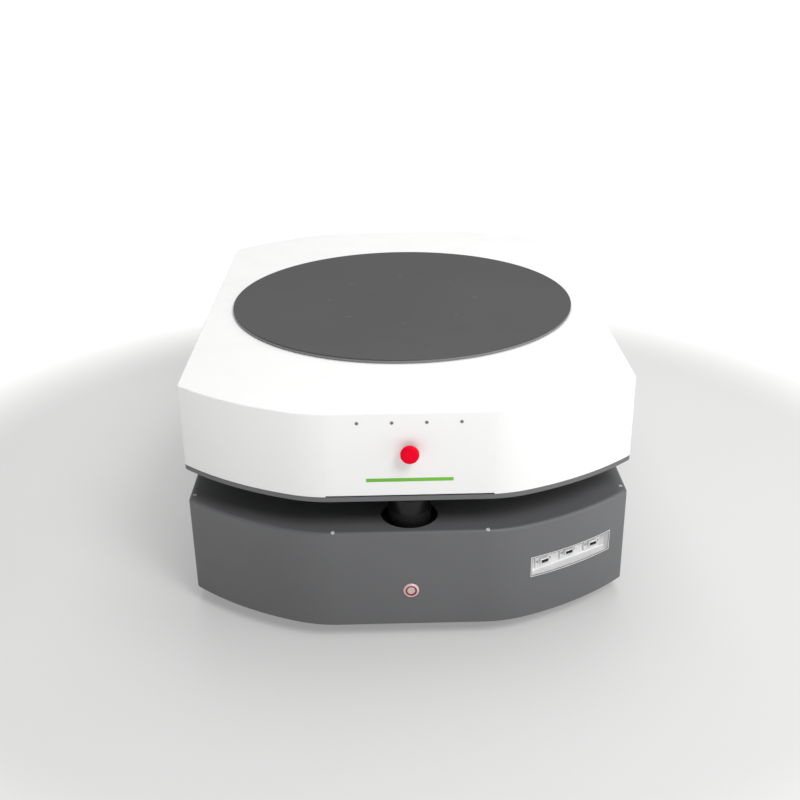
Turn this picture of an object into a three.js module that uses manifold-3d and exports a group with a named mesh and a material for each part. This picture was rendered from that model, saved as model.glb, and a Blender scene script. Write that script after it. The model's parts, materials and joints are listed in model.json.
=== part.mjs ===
// Omnidirectional transport robot: a low mobile base on four mecanum wheels that carries a
// round lifting turntable. Millimetres, +Z up, the front faces -Y, the floor is at z = 0 and
// the origin is on the floor under the middle of the body.
import * as THREE from "three";
import { mergeVertices } from "three/addons/utils/BufferGeometryUtils.js";
import Module from "manifold-3d";

const wasm = await Module();
wasm.setup();

// ---- Driving dimensions ----
const GAP = 0.3; // between pieces that touch
const OVER = 1; // how far a cutting tool passes the face it cuts
const HOLE_REACH = 20; // how far a hole's tool reaches to each side of a wall
const RING_SEGMENTS = 36; // round the lift's pieces

// Plan of the body: straight sides and ends, joined by arcs of one circle about the centre.
const HALF_WIDTH = 400;
const HALF_LENGTH = 566;
const CORNER_ARC_R = 588.6;
const END_BLEND_R = 215; // between a flat end and the corner arc
const SIDE_BLEND_R = 12; // between a side and the corner arc

// Heights above the floor.
const SKIRT_BOTTOM = 30;
const DECK_TOP = 218;
const TRAY_BOTTOM = 278.7;
const COVER_BOTTOM = 288.3;
const COVER_TOP = 441.5;
const DISC_TOP = 449.2;

// Sheet thicknesses.
const SKIRT_WALL = 5;
const COVER_WALL = 4;
const TRAY_FLOOR = 4;
const TRAY_RIM = 14;
const TRAY_CLEARANCE = 2; // round the lift guide
const BASE_PLATE = 6;
const CORE_WALL = 8;

// Chassis frame.
const BASE_Z = 36;
const CORE_HALF_WIDTH = 184;
const CORE_HALF_LENGTH = 430;
const CORE_CLEARANCE = 1; // to the deck round it
const PEDESTAL = 90; // square post under each scanner
const PEDESTAL_TOP = 150;
const PEDESTAL_SETBACK = 6; // from the scanner's middle towards the core

// Mecanum wheels.
const WHEEL_R = 76;
const TRACK_HALF = 345;
const WHEELBASE_HALF = 340;
const ROLLERS = 8;
const ROLLER_MID_R = 14;
const ROLLER_HALF_LENGTH = 37;
const ROLLER_TILT = Math.PI / 4;
const ROLLER_CIRCLE_R = WHEEL_R - ROLLER_MID_R;
const PIN_R = 4;
const PIN_BORE_R = 4.3;
const TAB_NEAR = 39; // along the roller's axis
const TAB_FAR = 43;
const TAB_WIDTH = 14;
const TAB_OUT = 7; // from the roller's axis outward
const TAB_IN = 27; // and inward, into the hub plate
const HUB_PLATE_R = 48;
const HUB_PLATE_IN = 24; // from the wheel's middle plane
const HUB_PLATE_OUT = 29;
const HUB_BARREL_R = 30;
const HUB_SEGMENTS = 16;
const SHAFT_R = 10;
const SHAFT_BORE_R = 10.15;
const SHAFT_END = 52; // inward from the wheel's middle plane
const WELL_INNER_X = 302; // inner edge of the notch for a wheel
const WELL_HALF_LENGTH = 84;

// Drive motors, one inboard of each wheel.
const GEARBOX_SIDE = 66;
const GEARBOX_OUTER_X = 305;
const GEARBOX_LENGTH = 48;
const MOTOR_R = 30;
const MOTOR_INNER_X = 190;

// Lift and turntable.
const DISC_R = 352;
const BOSS_R = 118;
const BOSS_DEPTH = 37;
const COLUMN_BORE_R = 118.8;
const COLUMN_R = 168;
const COLUMN_BOTTOM = 292;
const GUIDE_BORE_R = 168.8;
const GUIDE_R = 180;
const GUIDE_TOP = 430;
const COVER_HOLE_R = 171;

// Front access panel.
const PANEL_HALF_WIDTH = 142;
const PANEL_SEAM = 0.8;
const PANEL_BOTTOM = COVER_BOTTOM + 2.5;

// Emergency stops, one at each end.
const ESTOP_Z = 373.5;
const ESTOP_HEAD_R = 15.7;
const ESTOP_REACH = 22; // from the face to the front of the head
const ESTOP_HEAD_LENGTH = 11;
const ESTOP_NECK_R = 9.5;
const ESTOP_NECK_LENGTH = 6;
const ESTOP_STEM_R = 5;
const ESTOP_STEM_LENGTH = 16;
const ESTOP_HOLE_R = 8.2; // a 16 mm panel hole
const ESTOP_BARREL_R = 7.9;
const ESTOP_BARREL_LENGTH = 30; // behind the face

// Power button.
const POWER_Z = 100.3;
const BEZEL_R = 14;
const BEZEL_PROUD = 3;
const CAP_R = 7;
const CAP_LENGTH = 9;
const CAP_INSET = 0.6;
const CAP_BORE_DEPTH = 13;
const POWER_HOLE_R = 11.3; // a 22 mm panel hole
const POWER_BARREL_R = 11;
const POWER_BARREL_LENGTH = 16; // behind the face

// Laser scanners in the gap under the upper body.
const LIDAR_Y = 503;
const LIDAR_R = 38;
const LIDAR_TOP = 272;
const LIDAR_HOLE_R = 50;
const LIDAR_WINDOW_R = 36.5;
const LIDAR_WINDOW_BOTTOM = 236;
const LIDAR_WINDOW_TOP = 262;

// Connector recess in the right front corner of the skirt.
const RECESS_ANGLE = THREE.MathUtils.degToRad(29.8); // from the front, about the centre
const RECESS_HALF_WIDTH = 90;
const RECESS_BOTTOM = 110;
const RECESS_TOP = 151;
const RECESS_DEPTH = 20;
const RECESS_LEAD = 10; // how far the recess's tools start outside the skirt
const RECESS_WALL = 1.5;
const PORT_PITCH = 55;
const PORT_FLANGE = [36, 24, 2]; // width, height, thickness
const PORT_BODY = [19, 11, 7];
const PORT_SLOT = [14, 5];
const PORT_SLOT_FLOOR = 1; // left behind the slot

// Battery, in the rear half of the core.
const BATTERY = [320, 318, 165];
const BATTERY_Y = 256;

// ---- Materials ----
const finish = (color, roughness, metalness) =>
  new THREE.MeshStandardMaterial({ color, roughness, metalness });
const WHITE_PAINT = finish(0xf2f2f2, 0.35, 0);
const GREY_PAINT = finish(0x66676a, 0.5, 0.1);
const DISC_GREY = finish(0x606265, 0.45, 0.4);
const STEEL = finish(0xb8bbc0, 0.35, 0.9);
const FRAME_PAINT = finish(0x2b2d30, 0.6, 0.2);
const BLACK_PLASTIC = finish(0x151618, 0.4, 0);
const RED_PLASTIC = finish(0xe01030, 0.35, 0);
const RUBBER = finish(0x1c1c1e, 0.8, 0);
const BATTERY_CASE = finish(0x2d3a48, 0.5, 0);

const robot = new THREE.Group();

// ---- Helpers ----
function mesh(name, geometry, material, parent = robot) {
  const piece = new THREE.Mesh(geometry, material);
  piece.name = name;
  parent.add(piece);
  return piece;
}

// A closed geometry as a solid for cutting and joining. Triangles that the merge has
// collapsed, at the axis of a turned piece, are dropped.
function solid(geometry) {
  const bare = geometry.clone();
  bare.deleteAttribute("normal");
  bare.deleteAttribute("uv");
  const merged = mergeVertices(bare, 1e-3);
  const index = merged.index.array;
  const kept = [];
  for (let i = 0; i < index.length; i += 3) {
    const [a, b, c] = index.slice(i, i + 3);
    if (a !== b && b !== c && c !== a) kept.push(a, b, c);
  }
  return new wasm.Manifold(
    new wasm.Mesh({
      numProp: 3,
      vertProperties: new Float32Array(merged.attributes.position.array),
      triVerts: new Uint32Array(kept),
    }),
  );
}

function geometryOf(body) {
  const result = body.getMesh();
  const geometry = new THREE.BufferGeometry();
  geometry.setAttribute("position", new THREE.BufferAttribute(result.vertProperties, 3));
  geometry.setIndex(new THREE.BufferAttribute(result.triVerts, 1));
  geometry.computeVertexNormals();
  return geometry;
}

const join = (...bodies) => bodies.reduce((whole, body) => whole.add(body));
const cut = (body, ...tools) => tools.reduce((rest, tool) => rest.subtract(tool), body);

// A box between two corners.
function block(x0, y0, z0, x1, y1, z1) {
  const box = new THREE.BoxGeometry(x1 - x0, y1 - y0, z1 - z0);
  box.translate((x0 + x1) / 2, (y0 + y1) / 2, (z0 + z1) / 2);
  return solid(box);
}

// A cylinder about the vertical line through (x, y).
function disc(radius, z0, z1, segments = 48, x = 0, y = 0) {
  const cylinder = new THREE.CylinderGeometry(radius, radius, z1 - z0, segments);
  cylinder.rotateX(Math.PI / 2);
  cylinder.translate(x, y, (z0 + z1) / 2);
  return solid(cylinder);
}

// A cylinder along Y at (x, z).
function peg(radius, y0, y1, z, segments = 20) {
  const cylinder = new THREE.CylinderGeometry(radius, radius, Math.abs(y1 - y0), segments);
  cylinder.translate(0, (y0 + y1) / 2, z);
  return solid(cylinder);
}

// A tool for a round hole through the flat wall at one end of the body.
function wallHole(radius, end, z) {
  return peg(radius, end * (HALF_LENGTH + OVER), end * (HALF_LENGTH - HOLE_REACH), z);
}

// A cylinder along X through the origin.
function axle(radius, x0, x1, segments = 24) {
  const cylinder = new THREE.CylinderGeometry(radius, radius, Math.abs(x1 - x0), segments);
  cylinder.rotateZ(Math.PI / 2);
  cylinder.translate((x0 + x1) / 2, 0, 0);
  return solid(cylinder);
}

// ---- Plan outline ----
// Points of an arc from one angle to another, both ends included.
function arc(x, y, radius, from, to, steps) {
  const points = [];
  for (let i = 0; i <= steps; i += 1) {
    const angle = from + ((to - from) * i) / steps;
    points.push([x + radius * Math.cos(angle), y + radius * Math.sin(angle)]);
  }
  return points;
}

// One quarter of the plan, from the side to the end, drawn in from the outside by an inset.
function quarterPlan(inset) {
  const width = HALF_WIDTH - inset;
  const length = HALF_LENGTH - inset;
  const radius = CORNER_ARC_R - inset;
  const sideX = width - SIDE_BLEND_R;
  const sideY = Math.sqrt((radius - SIDE_BLEND_R) ** 2 - sideX ** 2);
  const endY = length - END_BLEND_R;
  const endX = Math.sqrt((radius - END_BLEND_R) ** 2 - endY ** 2);
  const sideAngle = Math.atan2(sideY, sideX);
  const endAngle = Math.atan2(endY, endX);
  return [
    ...arc(sideX, sideY, SIDE_BLEND_R, 0, sideAngle, 3),
    ...arc(0, 0, radius, sideAngle, endAngle, 6).slice(1),
    ...arc(endX, endY, END_BLEND_R, endAngle, Math.PI / 2, 4).slice(1),
  ];
}

// The whole plan, raised between two heights.
function bodyPrism(inset, z0, z1) {
  const quarter = quarterPlan(inset);
  const back = [...quarter].reverse();
  const points = [
    ...quarter,
    ...back.map(([x, y]) => [-x, y]),
    ...quarter.map(([x, y]) => [-x, -y]),
    ...back.map(([x, y]) => [x, -y]),
  ];
  const shape = new THREE.Shape(points.map(([x, y]) => new THREE.Vector2(x, y)));
  const prism = new THREE.ExtrudeGeometry(shape, { depth: z1 - z0, bevelEnabled: false });
  prism.translate(0, 0, z0);
  return solid(prism);
}

// ---- Connector recess ----
// The recess's own axes: x along the skirt, y inward from its middle, z up.
function placeInRecess(body) {
  const degrees = THREE.MathUtils.radToDeg(RECESS_ANGLE);
  return body.translate([0, -CORNER_ARC_R, 0]).rotate([0, 0, degrees]);
}

function recessBlock(x0, y0, z0, x1, y1, z1) {
  return placeInRecess(block(x0, y0, z0, x1, y1, z1));
}

function makeConnectorRecess() {
  const side = RECESS_HALF_WIDTH - GAP;
  const low = RECESS_BOTTOM + GAP;
  const high = RECESS_TOP - GAP;
  const wall = RECESS_WALL;
  const outside = recessBlock(-side, -RECESS_LEAD, low, side, RECESS_DEPTH, high);
  const inside = recessBlock(
    -side + wall, -RECESS_LEAD - OVER, low + wall,
    side - wall, RECESS_DEPTH - wall, high - wall,
  );
  const flush = bodyPrism(0, low - OVER, high + OVER);
  mesh("io_tray", geometryOf(cut(outside.intersect(flush), inside)), STEEL);

  const floor = RECESS_DEPTH - wall - GAP;
  const middle = (RECESS_BOTTOM + RECESS_TOP) / 2;
  [-PORT_PITCH, 0, PORT_PITCH].forEach((x, i) => {
    const centred = ([width, height], y0, y1) =>
      recessBlock(x - width / 2, y0, middle - height / 2, x + width / 2, y1, middle + height / 2);
    const flange = centred(PORT_FLANGE, floor - PORT_FLANGE[2], floor);
    const body = centred(PORT_BODY, floor - PORT_BODY[2], floor);
    const slot = centred(PORT_SLOT, floor - PORT_BODY[2] - OVER, floor - PORT_SLOT_FLOOR);
    mesh(`io_port_${i + 1}`, geometryOf(cut(join(flange, body), slot)), BLACK_PLASTIC);
  });
}

// ---- Lower body ----
function makeLowerShell() {
  const openings = [
    bodyPrism(SKIRT_WALL, SKIRT_BOTTOM - OVER, DECK_TOP - SKIRT_WALL),
    block(
      -CORE_HALF_WIDTH - CORE_CLEARANCE, -CORE_HALF_LENGTH - CORE_CLEARANCE, DECK_TOP - HOLE_REACH,
      CORE_HALF_WIDTH + CORE_CLEARANCE, CORE_HALF_LENGTH + CORE_CLEARANCE, DECK_TOP + OVER,
    ),
    disc(LIDAR_HOLE_R, DECK_TOP - HOLE_REACH, DECK_TOP + OVER, 32, 0, -LIDAR_Y),
    disc(LIDAR_HOLE_R, DECK_TOP - HOLE_REACH, DECK_TOP + OVER, 32, 0, LIDAR_Y),
    wallHole(POWER_HOLE_R, -1, POWER_Z),
    recessBlock(
      -RECESS_HALF_WIDTH, -RECESS_LEAD, RECESS_BOTTOM,
      RECESS_HALF_WIDTH, RECESS_DEPTH + OVER, RECESS_TOP,
    ),
  ];
  const shell = cut(bodyPrism(0, SKIRT_BOTTOM, DECK_TOP), ...openings);
  mesh("lower_shell", geometryOf(shell), GREY_PAINT);
}

// Base plate, boxed core, scanner posts and lift guide, welded into one frame.
function makeChassisFrame() {
  const plateTop = BASE_Z + BASE_PLATE;
  const coreTop = TRAY_BOTTOM - GAP;
  const w = CORE_HALF_WIDTH;
  const l = CORE_HALF_LENGTH;
  const t = CORE_WALL;
  const post = PEDESTAL / 2;
  const postEnd = LIDAR_Y + post - PEDESTAL_SETBACK;
  const frame = join(
    bodyPrism(SKIRT_WALL + GAP, BASE_Z, plateTop),
    block(-w, -l, plateTop - OVER, w, l, coreTop),
    block(-post, -postEnd, plateTop - OVER, post, -l + OVER, PEDESTAL_TOP),
    block(-post, l - OVER, plateTop - OVER, post, postEnd, PEDESTAL_TOP),
    disc(GUIDE_R, coreTop - t, GUIDE_TOP, RING_SEGMENTS),
  );
  const wells = [-1, 1].flatMap((side) =>
    [-1, 1].map((end) => {
      const x = [side * WELL_INNER_X, side * (HALF_WIDTH + OVER)].sort((a, b) => a - b);
      const y = end * WHEELBASE_HALF;
      return block(
        x[0], y - WELL_HALF_LENGTH, BASE_Z - OVER, x[1], y + WELL_HALF_LENGTH, plateTop + OVER,
      );
    }),
  );
  const hollow = block(-w + t, -l + t, plateTop, w - t, l - t, coreTop - t);
  const bore = disc(GUIDE_BORE_R, coreTop - t - OVER, GUIDE_TOP + OVER, RING_SEGMENTS);
  mesh("chassis_frame", geometryOf(cut(frame, hollow, bore, ...wells)), FRAME_PAINT);
}

function makeBattery() {
  const [width, length, height] = BATTERY;
  const box = new THREE.BoxGeometry(width, length, height);
  const battery = mesh("battery_pack", box, BATTERY_CASE);
  battery.position.set(0, BATTERY_Y, BASE_Z + BASE_PLATE + GAP + height / 2);
}

function makeScanner(name, y) {
  const foot = PEDESTAL_TOP + GAP;
  const body = join(
    disc(LIDAR_R, foot, LIDAR_WINDOW_BOTTOM, 24, 0, y),
    disc(LIDAR_WINDOW_R, LIDAR_WINDOW_BOTTOM - OVER, LIDAR_WINDOW_TOP + OVER, 24, 0, y),
    disc(LIDAR_R, LIDAR_WINDOW_TOP, LIDAR_TOP, 24, 0, y),
  );
  mesh(name, geometryOf(body), BLACK_PLASTIC);
}

// ---- Upper body ----
function makeUpperTray() {
  const rim = bodyPrism(0, TRAY_BOTTOM, COVER_BOTTOM - GAP);
  const pocket = bodyPrism(TRAY_RIM, TRAY_BOTTOM + TRAY_FLOOR, COVER_BOTTOM + OVER);
  const holeRadius = GUIDE_R + TRAY_CLEARANCE;
  const hole = disc(holeRadius, TRAY_BOTTOM - OVER, COVER_BOTTOM + OVER, RING_SEGMENTS);
  mesh("upper_tray", geometryOf(cut(rim, pocket, hole)), GREY_PAINT);
}

function makeUpperCover() {
  const openings = [
    bodyPrism(COVER_WALL, COVER_BOTTOM - OVER, COVER_TOP - COVER_WALL),
    disc(COVER_HOLE_R, COVER_TOP - HOLE_REACH, COVER_TOP + OVER, RING_SEGMENTS),
    block(
      -PANEL_HALF_WIDTH, -HALF_LENGTH - OVER, COVER_BOTTOM - OVER,
      PANEL_HALF_WIDTH, -HALF_LENGTH + COVER_WALL, COVER_TOP + OVER,
    ),
    wallHole(ESTOP_HOLE_R, 1, ESTOP_Z),
  ];
  const cover = cut(bodyPrism(0, COVER_BOTTOM, COVER_TOP), ...openings);
  mesh("upper_cover", geometryOf(cover), WHITE_PAINT);
}

// The panel follows the front of the body, whose blends begin just inside its edges.
function makeFrontPanel() {
  const edge = PANEL_HALF_WIDTH - PANEL_SEAM;
  const back = -HALF_LENGTH + COVER_WALL - GAP;
  const plate = block(-edge, -HALF_LENGTH - OVER, PANEL_BOTTOM, edge, back, COVER_TOP - GAP);
  const trimmed = plate.intersect(bodyPrism(0, COVER_BOTTOM - OVER, COVER_TOP + OVER));
  const hole = wallHole(ESTOP_HOLE_R, -1, ESTOP_Z);
  mesh("front_panel", geometryOf(cut(trimmed, hole)), WHITE_PAINT);
}

// ---- Lift and turntable ----
function makeLift() {
  const top = COVER_TOP;
  const column = cut(
    disc(COLUMN_R, COLUMN_BOTTOM, top, RING_SEGMENTS),
    disc(COLUMN_BORE_R, COLUMN_BOTTOM - OVER, top + OVER, RING_SEGMENTS),
  );
  mesh("lift_column", geometryOf(column), STEEL);
  const underside = top + GAP;
  const table = join(
    disc(DISC_R, underside, DISC_TOP, 72),
    disc(BOSS_R, underside - BOSS_DEPTH, underside + OVER, RING_SEGMENTS),
  );
  mesh("lift_disc", geometryOf(table), DISC_GREY);
}

// ---- Controls ----
// Modelled for the front, which faces -Y, and turned half round for the rear.
function makeEmergencyStop(name, atRear) {
  const holder = new THREE.Group();
  holder.rotation.z = atRear ? Math.PI : 0;
  robot.add(holder);
  const face = -HALF_LENGTH;
  const front = face - ESTOP_REACH;
  const headBack = front + ESTOP_HEAD_LENGTH;
  const neckFront = face - GAP - ESTOP_NECK_LENGTH;
  const collar = cut(
    join(
      peg(ESTOP_NECK_R, neckFront, face - GAP, ESTOP_Z),
      peg(ESTOP_BARREL_R, face - OVER, face + ESTOP_BARREL_LENGTH, ESTOP_Z),
    ),
    peg(ESTOP_STEM_R + GAP, neckFront - OVER, neckFront + ESTOP_STEM_LENGTH, ESTOP_Z),
  );
  mesh(`estop_collar_${name}`, geometryOf(collar), BLACK_PLASTIC, holder);
  const head = join(
    peg(ESTOP_HEAD_R, front, headBack, ESTOP_Z),
    peg(ESTOP_STEM_R, headBack - OVER, headBack + ESTOP_STEM_LENGTH - OVER, ESTOP_Z),
  );
  mesh(`estop_head_${name}`, geometryOf(head), RED_PLASTIC, holder);
}

function makePowerButton() {
  const face = -HALF_LENGTH;
  const front = face - BEZEL_PROUD;
  const bezel = cut(
    join(
      peg(BEZEL_R, front, face - GAP, POWER_Z),
      peg(POWER_BARREL_R, face - OVER, face + POWER_BARREL_LENGTH, POWER_Z),
    ),
    peg(CAP_R + GAP, front - OVER, front + CAP_BORE_DEPTH, POWER_Z),
  );
  mesh("power_bezel", geometryOf(bezel), STEEL);
  const capFront = front + CAP_INSET;
  mesh("power_cap", geometryOf(peg(CAP_R, capFront, capFront + CAP_LENGTH, POWER_Z)), STEEL);
}

// ---- Wheels ----
// Roller radius at a distance along its axis: the wheel's round envelope less the axis's
// distance from the wheel's centre line.
function rollerRadius(along) {
  return WHEEL_R - Math.hypot(ROLLER_CIRCLE_R, along * Math.sin(ROLLER_TILT));
}

// A bored barrel about its own Z axis, with a corner of its section towards +X.
function rollerGeometry() {
  const steps = 4;
  const profile = [new THREE.Vector2(PIN_BORE_R, -ROLLER_HALF_LENGTH)];
  for (let i = 0; i <= steps; i += 1) {
    const along = ROLLER_HALF_LENGTH * ((2 * i) / steps - 1);
    profile.push(new THREE.Vector2(rollerRadius(along), along));
  }
  profile.push(new THREE.Vector2(PIN_BORE_R, ROLLER_HALF_LENGTH));
  profile.push(profile[0].clone());
  const barrel = new THREE.LatheGeometry(profile, 10);
  barrel.rotateX(Math.PI / 2);
  barrel.rotateZ(Math.PI / 2);
  return geometryOf(solid(barrel));
}

// Places a thing made about the roller's own axes (z along the roller, x outward) at one of
// the roller's stations round the wheel. The wheel turns about X.
function rollerStation(index, hand) {
  const tilt = new THREE.Matrix4().makeBasis(
    new THREE.Vector3(0, 0, 1),
    new THREE.Vector3(hand * Math.sin(ROLLER_TILT), -Math.cos(ROLLER_TILT), 0),
    new THREE.Vector3(Math.cos(ROLLER_TILT), hand * Math.sin(ROLLER_TILT), 0),
  );
  tilt.setPosition(0, 0, ROLLER_CIRCLE_R);
  const turn = new THREE.Matrix4().makeRotationX((index * 2 * Math.PI) / ROLLERS);
  return turn.multiply(tilt);
}

function hubSolid(hand, inward) {
  const parts = [
    axle(HUB_BARREL_R, -HUB_PLATE_IN - OVER, HUB_PLATE_IN + OVER, HUB_SEGMENTS),
    axle(HUB_PLATE_R, -HUB_PLATE_OUT, -HUB_PLATE_IN, HUB_SEGMENTS),
    axle(HUB_PLATE_R, HUB_PLATE_IN, HUB_PLATE_OUT, HUB_SEGMENTS),
    axle(SHAFT_R, 0, inward * SHAFT_END),
  ];
  for (let i = 0; i < ROLLERS; i += 1) {
    const station = rollerStation(i, hand);
    const pin = new THREE.CylinderGeometry(PIN_R, PIN_R, TAB_NEAR + TAB_FAR, 6);
    pin.rotateX(Math.PI / 2);
    parts.push(solid(pin.applyMatrix4(station)));
    for (const end of [-1, 1]) {
      const tab = new THREE.BoxGeometry(TAB_OUT + TAB_IN, TAB_WIDTH, TAB_FAR - TAB_NEAR);
      tab.translate((TAB_OUT - TAB_IN) / 2, 0, (end * (TAB_NEAR + TAB_FAR)) / 2);
      parts.push(solid(tab.applyMatrix4(station)));
    }
  }
  return join(...parts);
}

function makeWheel(name, side, end) {
  const wheel = new THREE.Group();
  wheel.position.set(side * TRACK_HALF, end * WHEELBASE_HALF, WHEEL_R);
  robot.add(wheel);
  const hand = side * end;
  mesh(`hub_${name}`, geometryOf(hubSolid(hand, -side)), STEEL, wheel);
  const barrel = rollerGeometry();
  for (let i = 0; i < ROLLERS; i += 1) {
    const roller = mesh(`roller_${name}_${i + 1}`, barrel, RUBBER, wheel);
    roller.applyMatrix4(rollerStation(i, hand));
  }
}

function makeMotor(name, side, end) {
  const half = GEARBOX_SIDE / 2;
  const gearboxInner = GEARBOX_OUTER_X - GEARBOX_LENGTH;
  const xs = [side * gearboxInner, side * GEARBOX_OUTER_X].sort((a, b) => a - b);
  const shaftTip = side * (TRACK_HALF - SHAFT_END);
  const drive = cut(
    join(
      block(xs[0], -half, -half, xs[1], half, half),
      axle(MOTOR_R, side * MOTOR_INNER_X, side * (gearboxInner + OVER)),
    ),
    axle(SHAFT_BORE_R, shaftTip - side * OVER, side * (GEARBOX_OUTER_X + OVER)),
  );
  const motor = mesh(`drive_motor_${name}`, geometryOf(drive), BLACK_PLASTIC);
  motor.position.set(0, end * WHEELBASE_HALF, WHEEL_R);
}

// ---- Assembly ----
makeLowerShell();
makeChassisFrame();
makeBattery();
makeScanner("lidar_front", -LIDAR_Y);
makeScanner("lidar_rear", LIDAR_Y);
makeConnectorRecess();
makeUpperTray();
makeUpperCover();
makeFrontPanel();
makeLift();
makeEmergencyStop("front", false);
makeEmergencyStop("rear", true);
makePowerButton();
const corners = [
  ["front_left", -1, -1],
  ["front_right", 1, -1],
  ["rear_left", -1, 1],
  ["rear_right", 1, 1],
];
for (const [name, side, end] of corners) {
  makeWheel(name, side, end);
  makeMotor(name, side, end);
}

export default robot;
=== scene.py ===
"""Looks for the mecanum wheel robot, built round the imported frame. Metres, +Z up, front -Y."""
import json
import math

import bmesh
import bpy
from mathutils import Matrix, Vector


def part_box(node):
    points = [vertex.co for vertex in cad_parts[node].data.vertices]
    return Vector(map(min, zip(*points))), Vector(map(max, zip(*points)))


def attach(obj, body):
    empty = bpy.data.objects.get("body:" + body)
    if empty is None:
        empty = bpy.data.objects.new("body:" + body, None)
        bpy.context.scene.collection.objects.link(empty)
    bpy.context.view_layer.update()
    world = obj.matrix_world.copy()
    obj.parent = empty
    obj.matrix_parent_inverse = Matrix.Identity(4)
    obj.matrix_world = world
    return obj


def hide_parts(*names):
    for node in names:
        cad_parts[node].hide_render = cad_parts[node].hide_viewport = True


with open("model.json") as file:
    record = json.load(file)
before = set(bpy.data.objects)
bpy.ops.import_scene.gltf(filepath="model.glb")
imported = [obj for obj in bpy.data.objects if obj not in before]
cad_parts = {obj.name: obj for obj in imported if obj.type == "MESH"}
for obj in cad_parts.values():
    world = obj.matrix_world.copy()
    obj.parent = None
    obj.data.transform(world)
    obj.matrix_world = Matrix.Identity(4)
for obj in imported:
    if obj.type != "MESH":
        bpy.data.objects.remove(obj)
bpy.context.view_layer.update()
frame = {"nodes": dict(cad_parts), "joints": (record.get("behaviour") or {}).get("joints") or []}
nodes = frame["nodes"]

MM = 0.001

# ---- Plan of the body, as the frame has it ----
SHELL_LO, SHELL_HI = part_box("lower_shell")
COVER_LO, COVER_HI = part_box("upper_cover")
TRAY_LO, TRAY_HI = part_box("upper_tray")
PANEL_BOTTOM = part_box("front_panel")[0].z
DISC_LO, DISC_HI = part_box("lift_disc")
COLUMN_LO, COLUMN_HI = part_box("lift_column")
POWER_LO, POWER_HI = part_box("power_bezel")
STOP_LO, STOP_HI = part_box("estop_head_front")
SCANNER_LO, SCANNER_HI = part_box("lidar_front")
HALF_WIDTH = SHELL_HI.x
HALF_LENGTH = SHELL_HI.y
CORNER_ARC_R = 588.6 * MM
END_BLEND_R = 215 * MM
SIDE_BLEND_R = 12 * MM
SIDE_STEPS, ARC_STEPS, END_STEPS = 6, 24, 14
POWER_Z = (POWER_LO.z + POWER_HI.z) / 2
BEZEL_R = POWER_HI.x
STOP_Z = (STOP_LO.z + STOP_HI.z) / 2
STOP_HEAD_R = STOP_HI.x
STOP_REACH = -STOP_LO.y - HALF_LENGTH
SCANNER_Y = -(SCANNER_LO.y + SCANNER_HI.y) / 2

# The connector recess, about the body's centre: its own x runs along the skirt, y inward.
RECESS_TURN = 29.8
RECESS_HALF = 90 * MM
RECESS_BOTTOM = 110 * MM
RECESS_TOP = 151 * MM
RECESS_DEPTH = 20 * MM


def arc(x, y, radius, start, end, steps):
    """Points of an arc, both ends included."""
    turns = [start + (end - start) * i / steps for i in range(steps + 1)]
    return [(x + radius * math.cos(a), y + radius * math.sin(a)) for a in turns]


def plan(inset=0.0):
    """The body's outline, drawn in by an inset, anticlockwise from the right side."""
    radius = CORNER_ARC_R - inset
    side_x = HALF_WIDTH - inset - SIDE_BLEND_R
    side_y = math.sqrt((radius - SIDE_BLEND_R) ** 2 - side_x**2)
    end_y = HALF_LENGTH - inset - END_BLEND_R
    end_x = math.sqrt((radius - END_BLEND_R) ** 2 - end_y**2)
    side_angle = math.atan2(side_y, side_x)
    end_angle = math.atan2(end_y, end_x)
    quarter = arc(side_x, side_y, SIDE_BLEND_R, 0, side_angle, SIDE_STEPS)
    quarter += arc(0, 0, radius, side_angle, end_angle, ARC_STEPS)[1:]
    quarter += arc(end_x, end_y, END_BLEND_R, end_angle, math.pi / 2, END_STEPS)[1:]
    back = quarter[::-1]
    return (
        quarter
        + [(-x, y) for x, y in back]
        + [(-x, -y) for x, y in quarter]
        + [(x, -y) for x, y in back]
    )


OUTLINE_ANGLES = [math.atan2(y, x) for x, y in plan()]


def ring(inset, z):
    """A loop round the body."""
    return [Vector((x, y, z)) for x, y in plan(inset)]


def circle_ring(radius, z, x=0.0, y=0.0):
    """A circle with as many points as a loop round the body, at the same bearings."""
    return [Vector((x + radius * math.cos(a), y + radius * math.sin(a), z)) for a in OUTLINE_ANGLES]


def rounded_edge(inset, z, radius, outer=True, steps=4):
    """Loops that round the edge between a wall at that inset and a level face at z.

    outer runs up the wall and onto a top face, and otherwise off a bottom face up the wall."""
    loops = []
    for i in range(steps + 1):
        a = math.pi / 2 * i / steps
        if outer:
            loops.append(ring(inset + radius * (1 - math.cos(a)), z - radius * (1 - math.sin(a))))
        else:
            loops.append(ring(inset + radius * (1 - math.sin(a)), z + radius * (1 - math.cos(a))))
    return loops


# ---- Mesh helpers ----
SHARP_ANGLE = 35  # degrees


def new_object(name, mesh, sharp=SHARP_ANGLE):
    """An object from a mesh, shaded smooth but for edges sharper than an angle in degrees."""
    mesh.shade_smooth()
    mesh.set_sharp_from_angle(angle=math.radians(sharp))
    obj = bpy.data.objects.new(name, mesh)
    bpy.context.scene.collection.objects.link(obj)
    return obj


def outward(mesh):
    """Turns a closed mesh's faces to look out."""
    build = bmesh.new()
    build.from_mesh(mesh)
    bmesh.ops.recalc_face_normals(build, faces=build.faces)
    build.to_mesh(mesh)
    build.free()


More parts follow.
